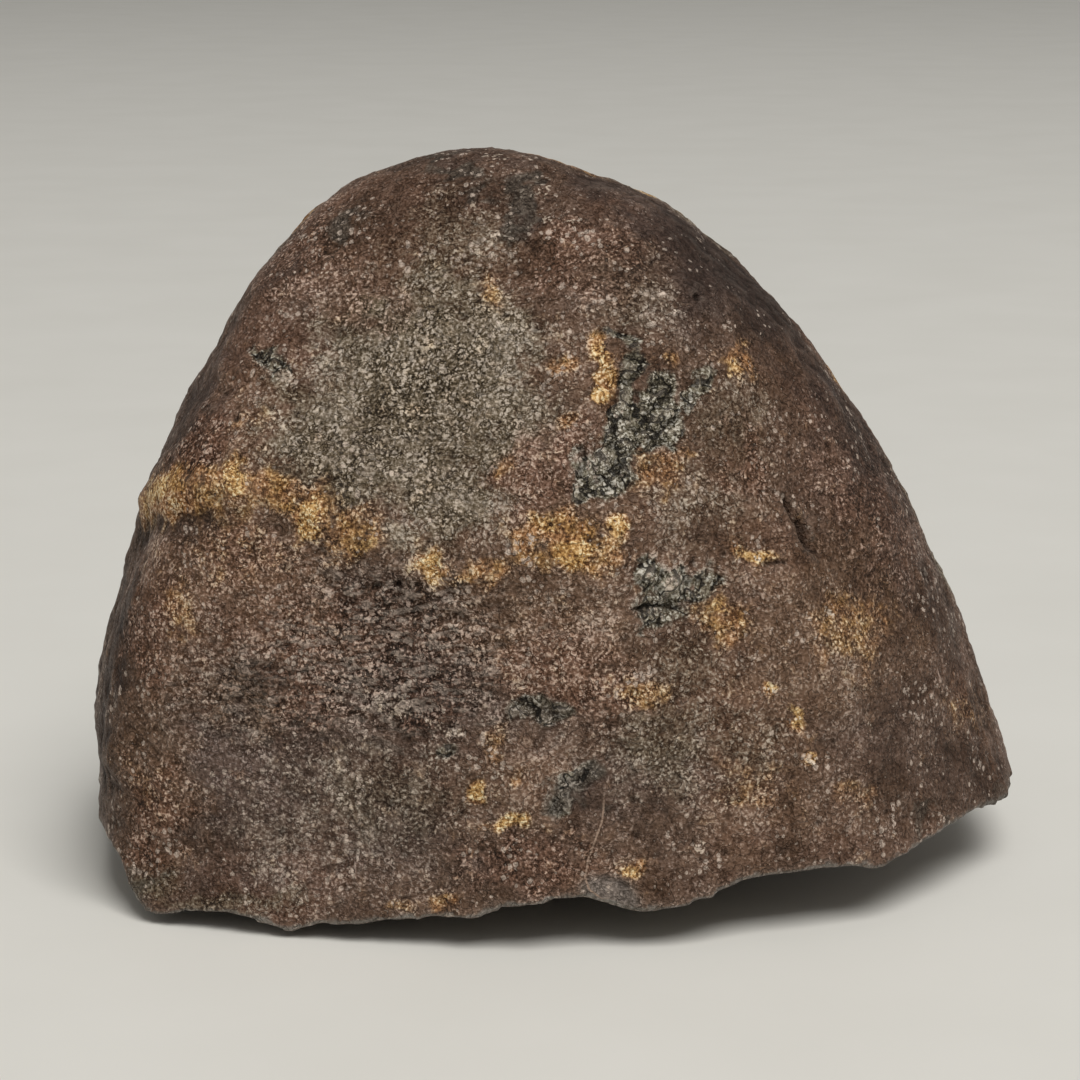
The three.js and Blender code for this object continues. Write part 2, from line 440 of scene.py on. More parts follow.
# %% Fuller sides
HALF_WIDTH = [(0, 41), (10, 45), (30, 42), (50, 32), (60, 24), (70, 8)]
SIDES = {
    "left wall": (-1, -1, [
        (0, 3.5), (1.5, 2.2), (3.5, 1.1), (5.5, 0.3), (8, 0), (12, 0), (14, 0.6), (16, 0.9), (19, 0.8),
        (22, 0.6), (26, 0.2), (30, 0.4), (34, 0), (48, 0), (52, 0.4), (58, 0.9), (62, 0),
    ]),
    "right wall": (1, 1, [(0, 1.2), (7, 1.2), (10, 0.7), (13, 0.5), (22, 0.6), (28, 0.3), (34, 0)]),
    "right shoulder": (1, -1, [(48, 0), (52, 0.6), (61, 1.0), (66, 0)]),
    "crown": (0, 1, [(63, 0), (67, 0.6), (70, 2.0)]),
}

half_width = np.interp(places[:, 2] / MM, *zip(*HALF_WIDTH))
for name, (side, way, profile) in SIDES.items():
    heights, pushes = zip(*profile)
    share = smooth_step(side * places[:, 0] / MM / half_width, 0.5, 0.85) if side else 1
    weight_group(stone, name, share * np.interp(places[:, 2] / MM, heights, pushes) / max(pushes))
    displace(name, way * max(pushes) * MM, None, name, 0, "X")

# %% [markdown]
# The brow is a low crest with a soft groove under it. It is sharpest at the left shoulder, where it hangs
# over the wall below, and it dies away towards the middle of the front. Above that shoulder the surface
# has one more small step.

# %% Brow
CREST_WIDTH = 2.0
GROOVE_DROP = 3.0
GROOVE_WIDTH = 1.7
STEP_WIDTH = 1.1

swayed = (across + 0.5 * sway_across, up + 0.5 * sway_up)
crest, along_brow = distance_to_path(BROW, *swayed)
groove, _ = distance_to_path([(x, y - GROOVE_DROP) for x, y in BROW], *swayed)
standing = 1 - 0.75 * smooth_step(along_brow, 0.08, 0.45)
standing = facing * (standing - 0.25 * smooth_step(along_brow, 0.7, 1.0))
weight_group(stone, "crest", standing * np.exp(-(crest / CREST_WIDTH) ** 2))
weight_group(stone, "groove", standing * np.exp(-(groove / GROOVE_WIDTH) ** 2))
displace("crest of the brow", 0.6 * MM, None, "crest", 0)
displace("groove under the brow", -0.25 * MM, None, "groove", 0)
step, _ = distance_to_path(STEP, *swayed)
weight_group(stone, "step", facing * np.exp(-(step / STEP_WIDTH) ** 2))
displace("step above the shoulder", 0.4 * MM, None, "step", 0)

# %% [markdown]
# Below the brow the surface is drawn into short, nearly level ledges. The same ridged noise gives them
# when it is stretched sideways, which an empty does: the texture follows the empty's own axes.

# %% Wrinkled ledges
LEDGE_LENGTH = 2.4
LEDGE_TURN = math.radians(9)

bpy.ops.object.empty_add(rotation=(0, LEDGE_TURN, 0))
stretch = bpy.context.object
stretch.scale = (LEDGE_LENGTH, LEDGE_LENGTH, 1)
bpy.context.view_layer.update()
wrinkles = spread(WRINKLES)
weight_group(stone, "wrinkles", wrinkles)
displace("ledges", 0.34 * MM, ridges("ledges", 1.3 * MM), "wrinkles", 0.5, axes=stretch)
displace("streaks", 0.34 * MM, clouds("streaks", 0.7 * MM, 2), "wrinkles", 0.5, axes=stretch)
bpy.data.objects.remove(stretch)

# %% [markdown]
# The dark crust stands a little proud and is broken into scales. Voronoi noise gives the scales: the
# difference between its nearest and second nearest distances is small only in the cracks between them.

# %% Scaly crust
crusted = spread(CRUST, fray=1.4, soft=0.3)
weight_group(stone, "crust", crusted)
displace("crust stands proud", 0.3 * MM, None, "crust", 0)
displace("scales", 0.7 * MM, cells("scales", 2.7 * MM, edges=True), "crust", 0.85)
displace("small scales", 0.25 * MM, clouds("small scales", 1.1 * MM, 1), "crust", 0.5)

# %% [markdown]
# Each crack is a path on the map: the nearer a point is to the path the deeper it goes, and the ends run
# out to a scratch. A flake is off beside the lip, and a few pits are dotted over the front.

# %% Cracks and pits
def cut(name, path, width, depth):
    """Cuts a crack along a path on the map; width is in millimetres."""
    distance, progress = distance_to_path(path, across + 0.3 * sway_across, up + 0.3 * sway_up)
    ends = smooth_step(progress, 0, 0.25) * smooth_step(1 - progress, 0, 0.2)
    weights = facing * (0.25 + 0.75 * ends)
    weights *= 1 - smooth_step(distance + 0.3 * ragged, 0, width)
    weight_group(stone, name, weights)
    displace(name, -depth, None, name, 0)


cut("fissure", FISSURE, 0.66, 1.2 * MM)
cut("side crack", SIDE_CRACK, 0.5, 0.5 * MM)
cut("crack in the crust", CRUST_CRACK, 0.42, 0.7 * MM)
scar = spread(SCAR, sway=0.2, fray=0.3, soft=0.3)
weight_group(stone, "scar", scar)
displace("scar beside the lip", -0.4 * MM, None, "scar", 0)
pit = np.zeros(len(across))
for x, y, radius in PITS:
    pit = np.maximum(pit, 1 - smooth_step(np.hypot(across - x, up - y) / radius, 0.3, 1.4))
weight_group(stone, "pits", facing * pit)
displace("pits", -0.5 * MM, None, "pits", 0)

# %% [markdown]
# The lip of the break is nibbled and a little blunt. Noise pushed up and down along Z gives it small
# scallops, in a band that fades out a few millimetres from the edge, and a few rounds of smoothing blunt
# it. The left wall lost a few flakes too.

# %% Chipped edges
LIP_ROUNDS = 5
LIP_BAND = (0.3 * MM, 3.0 * MM)
FLAKED = [
    (-43.5, -14.5, 1.6, 1.8, 0, 1), (-43.8, -19, 1.6, 1.6, 0, 0.8), (-43.5, -23.5, 1.6, 1.6, 0, 0.9),
]

weight_group(stone, "flaked", spread(FLAKED, sway=0.5, soft=0.7))
displace("flakes", -0.7 * MM, cells("flakes", 1.7 * MM), "flaked", 0.1)
places, normals = points_of(stone)
weight_group(stone, "lip", 1 - smooth_step(distance_to_lip(places), *LIP_BAND))
displace("chips", 0.55 * MM, clouds("chips", 3.4 * MM, 1), "lip", 0.5, "Z")
finish_with(stone, "SMOOTH", "blunt the lip", factor=0.5, iterations=LIP_ROUNDS, vertex_group="lip")
displace("nibbles", 0.12 * MM, clouds("nibbles", 1.1 * MM, 1), "lip", 0.5, "Z")
stone.vertex_groups.clear()
print("stone stands at", round(min(point.co.z for point in stone.data.vertices) / MM, 3), "mm")

# %% [markdown]
# ## Paint
#
# The colour is laid on in float attributes, one for each kind of stain. On the front the stains follow
# the map. The hidden sides get stains of the same kinds and sizes, scattered by a seeded random draw, so
# that the stone is finished wherever it is looked at from.
#
# Ochre is where iron in the stone has rusted to a yellow powder, and gold marks the bright cores of those
# stains. A thin wash of the same warm colour reaches further out.

# %% Ochre, gold and wash
OCHRE = [
    (-36.8, 4.2, 3.8, 2, 33, 1), (-32.5, 5, 3, 2, 10, 0.6), (-29.9, 6, 2, 1.8, 0, 1),
    (-26, 5.2, 3.2, 2.4, -15, 0.6), (-22.7, 2.3, 1.8, 2.4, -15, 1), (-18.4, 0.8, 2.4, 2.6, -30, 0.58),
    (-31, 2.8, 5, 1.4, 5, 0.4), (-21.4, 4.6, 2.4, 1.6, -30, 0.36), (-30, -1, 6, 2.6, -10, 0.2),
    (-10.2, -2.2, 2.4, 1.7, 0, 0.85), (-6, -3.4, 2.4, 1.3, 15, 0.6), (-1, 0.8, 2.8, 1.8, 5, 0.8),
    (-1, -1.6, 2.4, 1.4, 0, 0.6), (2.8, 1, 2.8, 1.8, 0, 0.85), (3.9, -1.5, 2.5, 1.7, -25, 1),
    (7.7, 0.6, 1.2, 1, 0, 0.95), (7.6, -1.4, 2, 1.8, 0, 0.6), (5.4, 13.9, 0.8, 0.7, 0, 1),
    (-4.5, 24.2, 1, 2.5, 15, 0.55), (5.9, 16.3, 1, 3, 5, 0.8), (2.7, 17.5, 1.2, 1.1, 0, 0.6),
    (5.6, 19.2, 0.8, 1, 0, 0.7), (1.7, 11.3, 0.8, 0.9, 0, 0.65), (12.8, 17.5, 1.2, 0.9, 0, 0.55),
    (18.9, 17.5, 2, 2.1, -10, 0.64), (11.1, 6.8, 2.2, 2.2, 0, 0.56), (13.5, 8.3, 1.9, 1.1, 10, 0.52),
    (-3, 6.9, 0.7, 0.9, 0, 0.55), (21.2, -1, 2.1, 1, -20, 0.75), (17.8, -7.8, 2.6, 2.6, 0, 0.6),
    (30.5, -8.4, 3.5, 4, 0, 0.45), (25, -17.8, 0.9, 1, 0, 0.7), (22.6, -14.5, 0.8, 0.7, 0, 0.7),
    (26.8, -21.7, 0.8, 0.8, 0, 0.7), (-35.2, -6.6, 1.6, 2.8, 10, 0.5), (10, -15.3, 2.6, 1.6, 0, 0.6),
    (-4.5, -19.7, 1.1, 1.8, 0, 0.4), (-2.3, -23.2, 0.8, 0.7, 0, 0.6), (-6, -24.9, 0.9, 0.8, 0, 0.8),
    (-3, -27.6, 1.6, 0.9, 10, 0.8), (8.6, -32.5, 1.5, 0.8, -20, 0.7), (-9, -35.7, 1.5, 0.8, -30, 0.6),
    (-13.4, -35.5, 2, 0.8, 0, 0.4), (21, -24.2, 4, 2, 0, 0.35), (31, -24.7, 1.6, 1.5, 0, 0.4),
    (-38.5, -24.2, 2.5, 2.6, 0, 0.2), (41.4, -17.3, 1.8, 1.6, 0, 0.4), (-28, 11.5, 2, 1.2, 0, 0.3),
]
GOLD = [
    (-37.2, 4.8, 2.6, 1, 33, 0.7), (-29.9, 6, 1.5, 1.4, 0, 1), (-22.8, 2.2, 1.3, 1.9, -10, 1),
    (-17.4, -0.4, 1.2, 1, 0, 0.6), (-10.4, -2, 1.2, 0.8, 0, 0.7), (1.2, 1.2, 1.6, 0.9, 0, 0.7),
    (3.6, -1.2, 1.7, 1.3, -25, 1), (7.7, 0.6, 0.9, 0.8, 0, 1), (5.6, 14.2, 0.9, 0.9, 0, 1),
    (5.9, 18, 0.8, 1.4, 0, 0.7), (18.4, 16.6, 0.9, 1.2, 0, 0.55), (21, -1.2, 1.4, 0.7, -20, 0.8),
    (18, -6.4, 1, 0.9, 0, 0.6), (-4.3, 22.6, 0.8, 1.4, 15, 0.25), (-6, -24.9, 0.7, 0.6, 0, 0.9),
    (-3, -27.6, 1.2, 0.6, 10, 0.8), (25.2, -17.2, 0.7, 1.2, 0, 0.8), (26.8, -21.7, 0.7, 0.8, 0, 0.8),
    (8.6, -32.5, 1, 0.6, -20, 0.7), (23, -14.4, 0.9, 0.6, 0, 0.7),
]
WASH = [
    (-31, -2, 8, 5, 0, 0.7), (25, -12, 8, 9, 0, 0.7), (-37, -17, 3.5, 8, 0, 0.6), (2, 2, 9, 6, 0, 0.7),
    (15, 6, 8, 8, 0, 0.5), (-28, 14, 4, 3.5, 0, 0.5), (-2, -23, 5, 7, 0, 0.7), (20, -27, 9, 4, 10, 0.6),
    (-8, 27, 12, 5, 0, 0.35), (0, -9, 9, 6, 0, 0.9), (-24, -4, 12, 4, -10, 0.8), (28, -10, 7, 9, 0, 0.8),
    (-38, -26, 4, 8, 0, 0.9),
]
print(len(OCHRE), "ochre stains with", len(GOLD), "bright cores and", len(WASH), "washes")

# %% [markdown]
# The rest of the front is told apart by finer shades: olive-grey skin, red rust, near-black varnish with
# its matt smudges, and fields that lean to mauve. Some varnish marks are painted shade: under the
# overhang of the brow and along the edges that turn away from the viewer.

# %% Olive, rust, varnish with painted shade, smudges and mauve
OLIVE = [
    (-11, 14.8, 9.5, 8.5, -10, 1), (-17.8, 8.9, 8, 4.5, -15, 0.95), (-11, 5.9, 6.5, 4, -20, 0.85),
    (-6, 17, 5, 7, 0, 0.9), (-9.4, 24.2, 5, 5, 0, 0.6), (-24.7, 14, 2.6, 3, 0, 0.5),
    (-13.9, -0.6, 3.2, 1.3, 0, 0.5), (13.8, -13.8, 5, 4, 0, 0.35), (12.8, -20, 6, 4.5, 0, 0.42),
    (21, -21, 4, 3, 0, 0.35), (-15.8, -25.1, 9, 5, -10, 0.38), (-28.2, -15.8, 4, 2.6, -25, 0.55),
    (-25.7, -28.6, 8, 3.5, 0, 0.25), (-38.5, -35, 3.4, 2.4, 0, 0.6), (-30, -36, 6, 1.4, 0, 0.5),
    (-35.6, -26, 1.6, 2, 0, 0.45), (15.5, 3.5, 6, 4, -20, 0.3), (19, 11, 4, 5, 0, 0.35),
    (-8, 30, 7, 4, 0, 0.4), (9, 24.5, 6, 4, -40, 0.36),
]
RUST = [
    (1.4, -12.8, 7, 4.5, 0, 0.6), (-1, 6, 2.2, 4.5, 0, 0.5), (2.9, 7.9, 1.6, 3, 0, 0.6),
    (-17.8, -8.9, 6, 2.5, -10, 0.5), (20.2, 6.9, 1.6, 3.5, 0, 0.5), (-34, 9, 3.2, 1.8, 35, 0.9),
    (-38, -9.9, 2.6, 6, 0, 0.5), (-37.5, -27, 3.5, 5, 0, 0.6), (33.5, 3.9, 4.9, 8.9, 20, 0.4),
    (-1, -32, 7, 3, 0, 0.5), (-23.7, 28.6, 5.9, 4.9, -40, 0.4), (5, 28, 6, 4, 0, 0.4),
    (-29.5, -1.6, 8, 3.4, -10, 0.4), (-18, -9.5, 13, 4.5, -8, 0.45), (-16.2, 23.6, 3.2, 2.8, 0, 0.4),
    (-26, -15.5, 6, 3, 0, 0.5), (-11, -16, 3, 2.6, 0, 0.6), (8.4, -16, 2.8, 2.4, 0, 0.6),
]
VARNISH_AND_SHADE = [
    (-25, 26.5, 1, 2.4, -35, 0.7), (-2.5, 31, 1.3, 1.5, 0, 0.8), (-8, 38, 9, 0.8, 0, 0.6),
    (14, 31, 7, 2.4, -38, 1), (23, 24.5, 7.5, 2.6, -45, 1), (30.5, 15.5, 6.5, 2.2, -58, 1),
    (24, 25.5, 2.2, 6, 42, 1), (17.5, 31.5, 1.6, 5, 55, 0.9), (30, 17.5, 2, 6, 33, 0.8),
    (-28, -14, 3, 1.6, -20, 0.5), (4, -24.5, 1.8, 2.6, 0, 0.9), (-0.5, -17.5, 3.4, 2, -10, 0.7),
    (17.2, 26.1, 3.4, 4.4, -50, 1), (11.3, 30.8, 4.6, 1.7, -35, 1), (22.6, 21.7, 3.4, 2.6, -50, 0.9),
    (6, 35.2, 4.4, 1.2, -22, 0.9), (27.6, 17, 3.2, 3.2, -50, 0.6), (23.5, 24, 4.4, 3, -50, 1),
    (33, 8, 2.4, 7, 28, 0.5), (-33.2, 14.8, 1.6, 5, -25, 0.7), (-43.5, -16.3, 2, 8.5, 0, 1),
    (-41.8, -6.5, 1.6, 4.5, -10, 0.9), (-34.5, 1.8, 4, 1.3, 25, 0.6), (-15.5, -4.4, 3.2, 1.5, -20, 0.8),
    (-9.9, -5.9, 2.2, 0.9, -20, 0.7), (-10.9, -13.8, 7, 4, -10, 0.55), (-14.8, -7.5, 5.5, 2, -10, 0.6),
    (33.5, -18.7, 6, 6, 0, 0.5), (40, -22, 4, 4, 0, 0.5), (-28, 29, 5, 1.6, 50, 0.5),
    (-10.4, -16.3, 1.6, 0.9, -30, 0.6), (38, -6, 1.6, 8, 22, 0.5),
]
SMUDGE = [
    (-19.7, 30.8, 2.8, 1.4, 20, 1), (-9.4, 36, 3.2, 1.5, -22, 1), (-3, 33.8, 1.5, 2.4, 0, 1),
    (-3.8, 30.5, 2, 1.2, 0, 0.7), (3.4, -24.6, 2.2, 2, 25, 0.9), (-0.5, -17, 3, 1.4, -10, 0.5),
    (-39.5, -34.6, 2.2, 2.4, 0, 0.7), (37.5, -27.4, 2.4, 1.2, 20, 0.7), (44.5, -25.6, 1.6, 1.4, 20, 0.6),
]
MAUVE = [
    (-27, -24, 13, 9, 10, 1), (-12, -28, 12, 6, 0, 0.9), (-8, -17, 9, 5, 0, 0.7), (12, -26, 7, 5, 0, 0.6),
    (-37, 15, 4, 5, 35, 0.6), (33, 10, 4, 10, 28, 0.7), (20, 24, 8, 5, -45, 0.8),
]
print(len(OLIVE) + len(RUST), "olive and rust stains,", len(VARNISH_AND_SHADE), "of varnish")

# %% [markdown]
# Light and dim fields lighten and darken all the colours together; the dim ones along the edges that turn
# away are painted shade, and the bright one on the crust is a painted highlight. Crumbly fields are
# where pale crumbs crowd, and pale marks are single pale spots, those on the ledges and the crust painted
# glints.

# %% Light, dim, crumbly and pale fields
LIGHT = [
    (13, -3.4, 1.8, 1.6, 0, 1), (1, -8.9, 4, 8, 0, 1), (3.5, -20.7, 2.5, 5.5, 0, 0.9),
    (-1.5, -25.6, 2.5, 2.5, 0, 0.6), (28, -12.5, 4.5, 8, 0, 0.6), (-22, -2.8, 5, 2.4, -12, 0.35),
    (-14, -1.4, 4.5, 2.6, 0, 0.9), (3.5, 8.9, 2.5, 3, 0, 0.9), (-1.5, 16.3, 2, 4, 0, 0.6),
    (-16.3, 19.7, 4, 4, 0, 0.4), (22, -11, 5, 4, 0, 0.3), (-9, -10, 4, 3, 0, 0.5),
    (-21.5, 18.7, 2.4, 2.4, 0, 0.6), (-6.4, 18.7, 2.4, 2.6, 0, 0.6), (3.5, 18.7, 2.4, 2.6, 0, 0.9),
    (-6.4, 13.8, 2.4, 2.4, 0, 0.4), (18.2, 13.8, 2.6, 2.6, 0, 0.6), (-20.6, 3.6, 2.4, 2.4, 0, 0.8),
    (-1.5, 3.9, 6, 2.2, 0, 0.5), (13.3, 3.9, 2.4, 2.4, 0, 0.6), (-6.4, -1, 2.4, 2.4, 0, 0.8),
    (8.4, -1, 2.6, 2.4, 0, 0.5), (8.4, -16, 2.8, 2.6, 0, 0.9), (8.4, -22.5, 2.6, 5, 0, 0.7),
    (-6, -6, 3, 2, 0, 0.4), (-36.8, 4, 2.4, 1.8, 20, 0.55), (-36.5, -1.5, 3, 2, 0, 0.5),
    (-16.3, -15.8, 2.6, 2, 0, 0.5), (-7.5, -15.8, 1.8, 2.4, 0, 0.5), (-41, -15.8, 2.4, 3, 0, 0.5),
    (-36, -16, 2.6, 2.6, 0, 0.4), (-21, 23.7, 2.6, 2.4, 0, 0.7), (3.5, 23.7, 3, 2.6, 0, 0.5),
    (13, 23.7, 3, 2.4, 0, 0.4), (-21, -6, 2.6, 2.4, 0, 0.6), (10, -6, 12, 2.4, 0, 0.4),
    (3.5, -15.8, 2.6, 2.4, 0, 0.4), (-21, -25.6, 2.6, 2.6, 0, 0.6), (-16.3, -30.6, 3, 2.6, 0, 0.8),
    (-14, -34, 5, 2.4, 0, 0.7), (38, -20.7, 2.6, 2.6, 0, 0.6), (18, -28, 3, 3, 0, 0.5),
    (-31, -10.8, 2.6, 2.4, 0, 0.4), (-8, 28.8, 3, 2.2, 0, 0.4), (28, -25.6, 2.6, 2.4, 0, 0.4),
]
DIM = [
    (-11.3, 31, 6, 4, 0, 1), (-27.5, 18.7, 2.6, 3, 0, 0.8), (8.8, 16.3, 3, 4.5, 0, 0.5),
    (-33, 10.5, 4, 2.4, 30, 0.5), (23, 18.7, 3.5, 4, -45, 0.9), (20, 27, 8, 3, -40, 0.9),
    (31, 12, 7, 2.5, -60, 0.8), (-42, -12, 2.6, 14, 0, 0.55), (12.8, -15, 4, 4, 0, 0.3),
    (3.5, 33, 3, 2.6, 0, 0.5), (6, -35.8, 4, 1.8, 0, 0.5), (-16.2, 23.7, 3, 2.6, 0, 0.3),
    (28, -1, 2.6, 2.4, 0, 0.5), (42.5, -17, 2, 9, 12, 0.5), (24, 23, 4.4, 4, 0, 1),
    (33, 3.9, 2.6, 2.6, 0, 0.4), (-1.5, 28.6, 2.4, 2.2, 0, 0.9), (-6.4, 28.6, 1.8, 2.4, 0, 0.6),
    (10.8, 28.6, 4.5, 2.4, 0, 0.6), (-1.5, -15.8, 1.8, 2.4, 0, 0.5), (-31, -35, 3, 3, 0, 0.3),
    (-15, -25.6, 2.6, 2.4, 0, 0.4), (-27, -1.5, 5, 2.4, -10, 0.15), (3.5, -35.6, 2.5, 1.6, 0, 0.6),
    (-28.6, -15.8, 5, 2.6, 0, 0.6), (-11, -16, 2.6, 2.4, 0, 0.5), (-9, -25.6, 4.5, 2.6, 0, 0.4),
    (23.2, -20.7, 2.4, 2.4, 0, 0.3),
]
CRUMBLY = [
    (-14, 27, 7, 5, 0, 0.8), (10, 28, 6, 4, -35, 0.7), (-7, 33, 5, 2.5, -40, 1), (-3.5, 30, 2.5, 2, -30, 1),
    (1, 32.5, 3, 2.5, 0, 1), (2.5, 26.5, 2.5, 2, 0, 0.8), (-20.5, 26, 3, 2, 0, 0.7),
    (-33, 11.5, 3, 2, 30, 0.7), (-4, -21, 5, 4, 0, 0.7), (-3, -29, 6, 2.5, 0, 1),
    (14, -32.5, 4, 2.5, 25, 1), (19, -27, 6, 3.5, 20, 0.7), (-22, -27, 8, 4, 0, 0.7),
    (-15, -12, 9, 6, -8, 0.8), (33, 8, 2.6, 8, 28, 0.8), (38.5, -6, 2.4, 8, 22, 0.7),
    (8, 24, 5, 4, -40, 0.6), (28, -20, 4, 4, 0, 0.6), (-12, 6, 8, 4, 0, 0.4),
]
PALE = [
    (-24.5, 16, 1.3, 0.9, -20, 1), (-20.8, 26.1, 0.7, 0.7, 0, 0.8), (-14.8, -16.3, 2.6, 1.3, -20, 0.85),
    (-9.2, -18.7, 2, 0.8, -15, 0.8), (-19.3, -15.3, 1.7, 1, -10, 0.5), (6.9, 4.4, 0.9, 1.1, 0, 0.6),
    (12.8, -4, 0.7, 1.2, 0, 0.9), (13.5, 22.9, 0.5, 1.1, 30, 0.55), (1.7, 26.4, 1.1, 0.5, -30, 0.55),
    (28.6, -7, 0.7, 0.7, 0, 0.8), (22.7, -14.6, 0.7, 0.6, 0, 0.9), (26.8, -21.8, 0.6, 0.7, 0, 0.9),
    (25.3, -17.6, 0.5, 0.7, 0, 0.8), (15.7, -27.1, 0.6, 0.6, 0, 0.6), (14, -32.5, 0.9, 0.6, 45, 0.55),
    (33.5, 2, 0.5, 1.1, 30, 0.5), (32.5, -18.2, 0.5, 0.5, 0, 0.6), (-10.9, 26.4, 0.6, 0.6, 0, 0.5),
    (21.4, -1.4, 0.9, 0.5, -20, 0.8), (-32, -0.5, 0.9, 0.6, 0, 0.5), (-36, -8.5, 0.5, 0.5, 0, 0.5),
    (-10.4, 33.8, 0.6, 0.4, 0, 0.9), (-6.9, 33, 1, 0.5, -35, 0.8), (-4.2, 30, 0.8, 0.6, 0, 0.8),
    (-0.2, 34.4, 0.8, 0.5, 20, 0.8), (0.3, 31.9, 0.6, 0.5, 0, 0.9), (2.4, 31.4, 1.4, 0.4, 10, 0.6),
    (-6, 37.8, 1.6, 0.4, 0, 0.7), (15.8, -30.3, 0.6, 0.6, 0, 0.9), (14.8, -32.4, 1.2, 0.6, 25, 0.7),
    (20.6, -28, 0.6, 0.5, 0, 0.6), (24.6, -26.6, 0.8, 0.5, 0, 0.6), (-4.2, -23.4, 0.7, 0.5, 0, 0.8),
]
print(len(LIGHT) + len(DIM), "light and dim fields,", len(CRUMBLY), "crumbly ones,", len(PALE), "pale marks")

# %% [markdown]
# A scattered stain is a squashed ball round a random point of the hidden side: all that lies inside it is
# stained, and noise frays its edge. Balls need no map, so they can lie anywhere.

# %% Stains all round
chance = random.Random(11)
hidden = np.flatnonzero(facing < 0.5)


def scatter(count, smallest, largest, strongest=1.0, fray=0.6):
    """The strongest of several random stains at every point, away from the front. Sizes are in
    millimetres, and each stain is squashed, most of all in height."""
    weight = np.zeros(len(places))
    for _ in range(count):
        centre = places[hidden[chance.randrange(len(hidden))]]
        radius = chance.uniform(smallest, largest) * MM
        strength = chance.uniform(0.3, strongest)
        squash = [chance.uniform(0.7, 1.4), chance.uniform(0.7, 1.4), chance.uniform(1.1, 2.2)]
        distance = np.linalg.norm((places - centre) * squash, axis=1) / radius + fray * ragged * 2
        weight = np.maximum(weight, strength * (1 - smooth_step(distance, 0.5, 1.4)))
    return weight * (1 - facing)


places, normals = points_of(stone)
washed = np.maximum(0.8 * spread(OCHRE, sway=2, soft=0.9, grow=2.5), spread(WASH, sway=2.5, soft=0.8))
layers = {
    "ochre": np.maximum(spread(OCHRE, fray=1.3, soft=0.55), scatter(34, 1.2, 7)),
    "gold": np.maximum(spread(GOLD, sway=0.6, soft=0.6), scatter(16, 0.8, 2)),
    "wash": np.maximum(washed, scatter(20, 5, 12, 0.8)),
    "olive": np.maximum(spread(OLIVE, sway=1.8, soft=0.9), scatter(14, 6, 15, 0.95)),
    "rust": np.maximum(spread(RUST, sway=2, soft=0.6), scatter(16, 5, 11, 0.9)),
    # Varnish, partly painted shade under the brow and on the edges that turn away.
    "varnish_and_shade": np.maximum(spread(VARNISH_AND_SHADE, sway=1.5, soft=0.6), scatter(20, 4, 11)),
    "pale": np.maximum(spread(PALE, sway=0.2, fray=0.5, soft=0.6, grow=0.2), scatter(30, 0.7, 1.4)),
    "smudge": np.maximum(spread(SMUDGE, sway=2, fray=1.8, soft=0.8), scatter(8, 2, 5, 0.8)),
    "mauve": np.maximum(spread(MAUVE, sway=2, soft=0.7), scatter(8, 8, 16, 0.8)),
    "crumbly": np.maximum(spread(CRUMBLY, sway=1.5, soft=0.7), scatter(16, 4, 9)),
    "light": 0.5 + 0.5 * spread(LIGHT, sway=2, soft=0.9) - 0.5 * spread(DIM, sway=1.5, soft=0.9),
    "crust": crusted,
    "wrinkled": wrinkles,
    "scar": scar,
}
for name, weights in layers.items():
    paint_layer(stone, name, weights)
    print(name, "covers", round(100 * float((weights > 0.4).mean())), "percent of the points")

# %% [markdown]
# The hairline is finer than the faces of the skin. So what is stored is the distance to it, with a
# different sign on its two sides. That runs smoothly through the faces, and the material can draw a line
# of any fineness where it passes through nothing.

# %% The hairline
HAIRLINE_REACH = 2.0

across_line, up_line = across + 0.12 * sway_across, up + 0.12 * sway_up
nearest, along_line = distance_to_path(HAIRLINE, across_line, up_line)
line_across, line_up = zip(*HAIRLINE[::-1])
beside = np.copysign(nearest, across_line - np.interp(up_line, line_up, line_across))
paint_layer(stone, "hairline", 0.5 + 0.5 * beside / HAIRLINE_REACH)
line_ends = smooth_step(along_line, 0.02, 0.3) * smooth_step(1 - along_line, 0.0, 0.1)
paint_layer(stone, "hairline strength", line_ends * (1 - smooth_step(nearest, 0.5, 0.9)) * facing)
print("hairline:", int((nearest < 0.5).sum()), "points beside it")

# %% [markdown]
# Hollows get painted shade, and rises a painted highlight. How far each point stands above
# its neighbourhood is found by smoothing a copy of the places and comparing the two, once over a short
# distance and once over a longer one. The edge of each patch of crust gets painted shade as well.

# %% Hollows and rises
def height_over_surroundings(thing, rounds):
    """How far each point stands out from a copy of the surface smoothed so many rounds, in metres."""
    places, normals = points_of(thing)
    ends = np.empty(2 * len(thing.data.edges), dtype=int)
    thing.data.edges.foreach_get("vertices", ends)
    first, second = ends.reshape(-1, 2).T
    both, other = np.r_[first, second], np.r_[second, first]
    count = np.bincount(both, minlength=len(places))
    smooth = places.copy()
    for _ in range(rounds):
        smooth = np.stack([np.bincount(both, smooth[other, k], len(places)) / count for k in range(3)], 1)
    return ((places - smooth) * normals).sum(1)


HOLLOW_DEPTH = 0.09 * MM
FINE_ROUNDS = 3
WIDE_ROUNDS = 14

fine = height_over_surroundings(stone, FINE_ROUNDS)
wide = height_over_surroundings(stone, WIDE_ROUNDS)
# Painted shade along the edge of each patch of crust, as under a raised plate.
crust_edge_shade = smooth_step(crusted, 0.12, 0.3) * (1 - smooth_step(crusted, 0.4, 0.65))
# Painted shade in the hollows.
sunken = np.maximum(-fine / HOLLOW_DEPTH, -wide / (3 * HOLLOW_DEPTH))
paint_layer(stone, "hollow_shade", np.maximum(sunken, 0.4 * crust_edge_shade))
